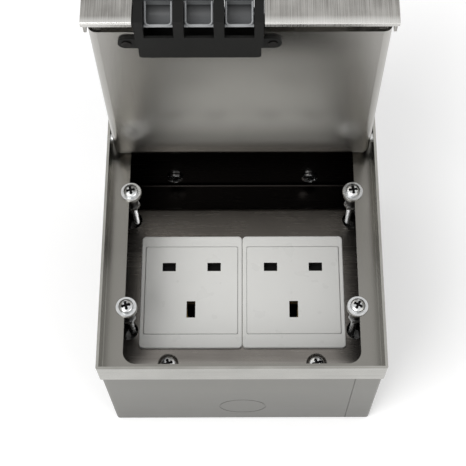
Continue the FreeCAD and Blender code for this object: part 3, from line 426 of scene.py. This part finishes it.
# The nylon behind is black and dull.
nylon = plastic("black_nylon", "#141414", "#101010", (0.5, 0.6), shine=0.15)
brass_grain = (4 * MM, 4 * MM, 0.4 * MM)
brass = steel("drawn_brass", "#D8BC7A", "#B8975A", brass_grain, (0.22, 0.36), relief=0.03, cloud=4 * MM)
for side in ("left", "right"):
    dress(white_urea, f"{side}_socket_plate")
    dress(white_face, f"{side}_socket_face")
    dress(nylon, f"{side}_socket_base", f"{side}_shutter")
    dress(brass, f"{side}_terminal_screws", f"{side}_live_contact", f"{side}_neutral_contact",
          f"{side}_earth_contact")

# -------------------------------------------------------------- levelling frame
# The trim frame and its ledge.  Stainless strip, brushed along its length and
# mitred at the corners.

# Finely brushed and clean, so its level faces mirror the lid that stands over them.
frame_steel = steel("brushed_stainless_frame", "#A9A8A3", "#93928D", SIDEWAYS, (0.18, 0.24), relief=0.02)
# The outside is bright.  The faces inside the rim are painted a little darker, as painted shade.
rim_sheet = 1.5 * MM
outer_share = 0.9                            # how much of the rim's sheet keeps the outside's tone
frame_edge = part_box("frame")[1].x
tint(frame_steel, within_walls(frame_steel.node_tree, frame_edge - outer_share * rim_sheet), "#86847F")
dress(frame_steel, "frame")

# -------------------------------------------------------------------------- lid
# A folded pan that takes a floor tile or screed, with a brushed stainless strip
# and skirts along its front edge.

# The pan is bright annealed sheet, nearly without grain.
pan_steel = steel("lid_pan_steel", "#ADABA7", "#A7A5A1", UPRIGHT, (0.21, 0.23),
                  relief=0.0, cloud=30 * MM, draw=0.9)
# Its underside is painted darker along the hinge, as a painted reflection of the dark well.
skin_depth = 0.6 * MM
reflection_ends, reflection_full = 42 * MM, 24 * MM      # up from the pan's hinge edge
reflection_strength = 0.75
pan_tree = pan_steel.node_tree
pan_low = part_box("lid_pan")[0]
pan_back, pan_rise = place_axes(pan_tree)[1:]
underside = reckon(pan_tree, "LESS_THAN", pan_back, pan_low.y + skin_depth)
near_hinge = remap(pan_tree, pan_rise, pan_low.z + reflection_ends, pan_low.z + reflection_full, 0.0, reflection_strength)
tint(pan_steel, reckon(pan_tree, "MULTIPLY", underside, near_hinge), "#74726E")

# The trim is brushed front to back.
brushed_stainless = steel("brushed_stainless_trim", "#B9B7B3", "#84827E", UPRIGHT, (0.22, 0.34), relief=0.1)
# Its bend is toned lighter, as the catch of light along a tight fold.
bend_ends, bend_full = 3.5 * MM, 1.2 * MM    # back from the skirts' front
bend_strength = 0.55
trim_tree = brushed_stainless.node_tree
skirt_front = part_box("lid_skirts")[0].y
bend = remap(trim_tree, place_axes(trim_tree)[1], skirt_front + bend_ends, skirt_front + bend_full,
             0.0, bend_strength)
tint(brushed_stainless, bend, "#E4E3E0")
dress(pan_steel, "lid_pan", "handle_well")
dress(brushed_stainless, "lid_front_strip", "lid_skirts", "handle_plate")

# ----------------------------------------------------------------- cable outlet
# Black ABS housing in the lid's front edge, a grey bezel, and three sprung grey
# flaps that swing in to let the cords through.

# Spark-eroded skins: the black is dull, and the grey shows its curves in a soft shine.
black_abs = plastic("black_abs_moulding", "#181817", "#131312", (0.45, 0.55), relief=0.1, shine=0.15)
grey = ("#77797A", "#707273", (0.3, 0.38), 0.06)
grey_abs = plastic("grey_abs_moulding", *grey)
dress(black_abs, "outlet_housing", "handle_pad")
dress(grey_abs, "outlet_bezel")

# A flap is the same grey on its outside.  Its scoop is painted dark in the cove's depth, as painted shade,
# and lighter towards the edges of its cheeks and its toe, as painted light.
scoop_grey = plastic("scoop_grey_abs", *grey)
scoop_tree = scoop_grey.node_tree
door = 1.6 * MM
flap_low, flap_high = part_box("middle_cable_flap")
scoop_back = place_axes(scoop_tree)[1]
depth = remap(scoop_tree, scoop_back, flap_low.y, flap_high.y - door)
# The ramp runs from painted light at the toe to painted shade deep in the cove.
tones = add(scoop_tree, "ShaderNodeValToRGB", {0: depth})
shades = tones.color_ramp.elements
shades[0].color = linear("#B4B6B7")
shades[1].color = linear("#2E2F30")
for part_way, shade in ((0.16, "#9A9C9D"), (0.5, "#66686A")):
    shades.new(part_way).color = linear(shade)
tint(scoop_grey, reckon(scoop_tree, "LESS_THAN", scoop_back, flap_high.y - door), tones.outputs[0])
dress(scoop_grey, "left_cable_flap", "middle_cable_flap", "right_cable_flap")

# ------------------------------------------------------------------- scoop lips
# The rolled lip round each scoop, down one cheek, along the toe and up the other.
# Moulded with the flap in the same grey ABS.


def lip_group():
    """Geometry Nodes that sweep a round lip along a path with rounded corners."""
    tree, identifiers, given = open_group("rolled_lip", "Lip", {
        "Path": "Geometry", "Lip radius": "Float", "Corner radius": "Float", "Finish": "Material"})
    path = add(tree, "GeometryNodeMeshToCurve", {0: given["Path"]})
    rounded = add(tree, "GeometryNodeFilletCurve",
                  {"Curve": path.outputs[0], "Radius": given["Corner radius"], "Count": 5}, mode="POLY")
    section = add(tree, "GeometryNodeCurvePrimitiveCircle", {"Resolution": 12,
                                                             "Radius": given["Lip radius"]})
    swept = add(tree, "GeometryNodeCurveToMesh", {"Curve": rounded.outputs[0],
                                                  "Profile Curve": section.outputs[0],
                                                  "Fill Caps": True})
    close_group(tree, swept.outputs[0], given["Finish"])
    return tree, identifiers


rolled_lip = lip_group()
# A little lighter and shinier than the flap: the lighter grey is a painted highlight along the rounded
# edge.
lip_grey = plastic("lip_grey_abs", "#A2A4A5", "#96989A", (0.26, 0.34), relief=0.04)
lip_radius = 0.45 * MM
lip_corner = 1.6 * MM
lip_clearance = 0.05 * MM
lip_inset = lip_radius + lip_clearance       # in from the flap's sides
# How far back from the flap's front, and down from its top, the lip has its ends and its toe.
cheek_back, cheek_down = 10.6 * MM, 1.4 * MM
toe_back, toe_down = 0.9 * MM, 6.9 * MM
for side in ("left", "middle", "right"):
    low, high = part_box(f"{side}_cable_flap")
    left, right = low.x + lip_inset, high.x - lip_inset
    cheek = (low.y + cheek_back, high.z - cheek_down)
    toe = (low.y + toe_back, high.z - toe_down)
    path = bpy.data.meshes.new(f"{side}_lip_path")
    path.from_pydata([(left, *cheek), (left, *toe), (right, *toe), (right, *cheek)],
                     [(0, 1), (1, 2), (2, 3)], [])
    lip_piece = grow(f"{side}_flap_lip", path, rolled_lip, {
        "Lip radius": lip_radius, "Corner radius": lip_corner, "Finish": lip_grey})
    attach(lip_piece, f"{side}_cable_flap")

# ------------------------------------------------------------ floor, light, view
# A plain pale studio floor under soft light, which is no part of the object.


def any_ray(tree, *kinds):
    """1 for a ray of one of those kinds, and 0 for the rest."""
    rays = add(tree, "ShaderNodeLightPath").outputs
    found = rays[f"Is {kinds[0]} Ray"]
    for kind in kinds[1:]:
        found = reckon(tree, "MAXIMUM", found, rays[f"Is {kind} Ray"])
    return found


floor_size = 6.0
floor_gap = 0.2 * MM                         # below the box, so that their faces don't meet
bpy.ops.mesh.primitive_plane_add(size=floor_size, location=(0, 0, cad_bounds[0].z - floor_gap))
floor = bpy.context.object
floor.name = "studio_floor"
# What is seen of the floor, straight or mirrored, glows: faintly near the box, and far off so
# much that it turns white.
glow_starts, glow_full = 0.15, 0.6           # metres from the middle
least_glow, most_glow = 0.25, 0.8
floor_paint, floor_tree = new_material("pale_floor")
place = add(floor_tree, "ShaderNodeTexCoord").outputs["Object"]
distance = add(floor_tree, "ShaderNodeVectorMath", {0: place}, operation="LENGTH").outputs["Value"]
away = remap(floor_tree, distance, glow_starts, glow_full, least_glow, most_glow)
glow = reckon(floor_tree, "MULTIPLY", any_ray(floor_tree, "Camera", "Glossy"), away)
paint = add(floor_tree, "ShaderNodeBsdfDiffuse", {"Color": linear("#F4F4F4")})
lift = add(floor_tree, "ShaderNodeEmission", {"Color": (1, 1, 1, 1), "Strength": glow})
joined = add(floor_tree, "ShaderNodeAddShader", {0: paint.outputs[0], 1: lift.outputs[0]})
add(floor_tree, "ShaderNodeOutputMaterial", {"Surface": joined.outputs[0]})
floor.data.materials.append(floor_paint)

# The world is white where it is seen or mirrored, and lights the object with a little over half.
lighting = 0.55
world = bpy.data.worlds.new("studio")
bpy.context.scene.world = world
world.use_nodes = True
world_tree = world.node_tree
world_tree.nodes.clear()
level = remap(world_tree, any_ray(world_tree, "Camera", "Glossy", "Transmission"), 0.0, 1.0, lighting, 1.0)
sky = add(world_tree, "ShaderNodeBackground", {"Color": (1, 1, 1, 1), "Strength": level})
add(world_tree, "ShaderNodeOutputWorld", {"Surface": sky.outputs[0]})


def softbox(name, place, aim, size, power):
    """A square soft light at place, turned to aim."""
    lamp = bpy.data.lights.new(name, "AREA")
    lamp.size = size
    lamp.energy = power
    made = bpy.data.objects.new(name, lamp)
    made.location = place
    made.rotation_euler = (Vector(aim) - Vector(place)).to_track_quat("-Z", "Y").to_euler()
    bpy.context.scene.collection.objects.link(made)


middle = (0, 0, 0.08)
softbox("key_light", (-0.5, -0.5, 0.9), middle, size=0.6, power=6)
softbox("fill_light", (0.8, -0.6, 0.5), middle, size=0.8, power=3)

# The camera looks steeply down into the open box from the front, a little right of
# the middle, from about 0.6 m.
enlarge = 1.4
focal_length = 1.803                         # in widths of the sensor
shift_right, shift_up = -0.0227, -0.022
look_down, roll = 65.87, -0.17               # degrees below level, and of roll
eye = bpy.data.cameras.new("camera")
eye.sensor_width = 36
eye.lens = focal_length * enlarge * eye.sensor_width
eye.shift_x = shift_right * enlarge
eye.shift_y = shift_up * enlarge
eye.clip_start = 0.01
camera = bpy.data.objects.new("camera", eye)
look = Matrix.Rotation(math.radians(90 - look_down), 3, "X") @ Matrix.Rotation(math.radians(roll), 3, "Z")
camera.rotation_euler = look.to_euler()
camera.location = (0.0028, -0.2141, 0.5835)
bpy.context.scene.collection.objects.link(camera)
bpy.context.scene.camera = camera
bpy.context.scene.view_settings.view_transform = "Standard"
